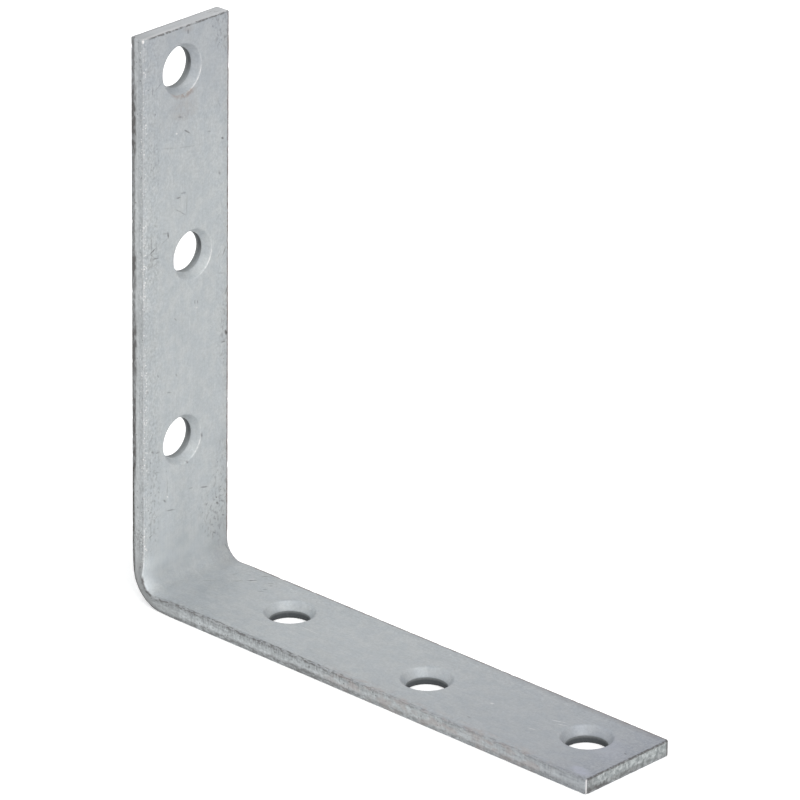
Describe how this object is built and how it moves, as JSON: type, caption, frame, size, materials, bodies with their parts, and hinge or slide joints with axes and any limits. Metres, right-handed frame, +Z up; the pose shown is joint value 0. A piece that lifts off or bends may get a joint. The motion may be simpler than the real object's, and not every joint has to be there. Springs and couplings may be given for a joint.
{
  "type": "inside corner brace",
  "caption": "Flat steel bar bent to a right angle, with staggered countersunk screw holes in both legs, for holding an inside corner. Zinc coated.",
  "frame": {"origin": "on the resting face of the flat leg, midway along that leg and midway across the bar", "axes": "+X along the flat leg from the bend to its end, +Y across the bar, +Z up along the upright leg"},
  "size_m": [0.153, 0.0312, 0.1517],
  "materials": {
    "zinc": "weathered dull zinc coating over steel, mottled, with small specks, rubs and a rust stain"
  },
  "bodies": {
    "root": {"corner_brace": "zinc"}
  },
  "joints": []
}
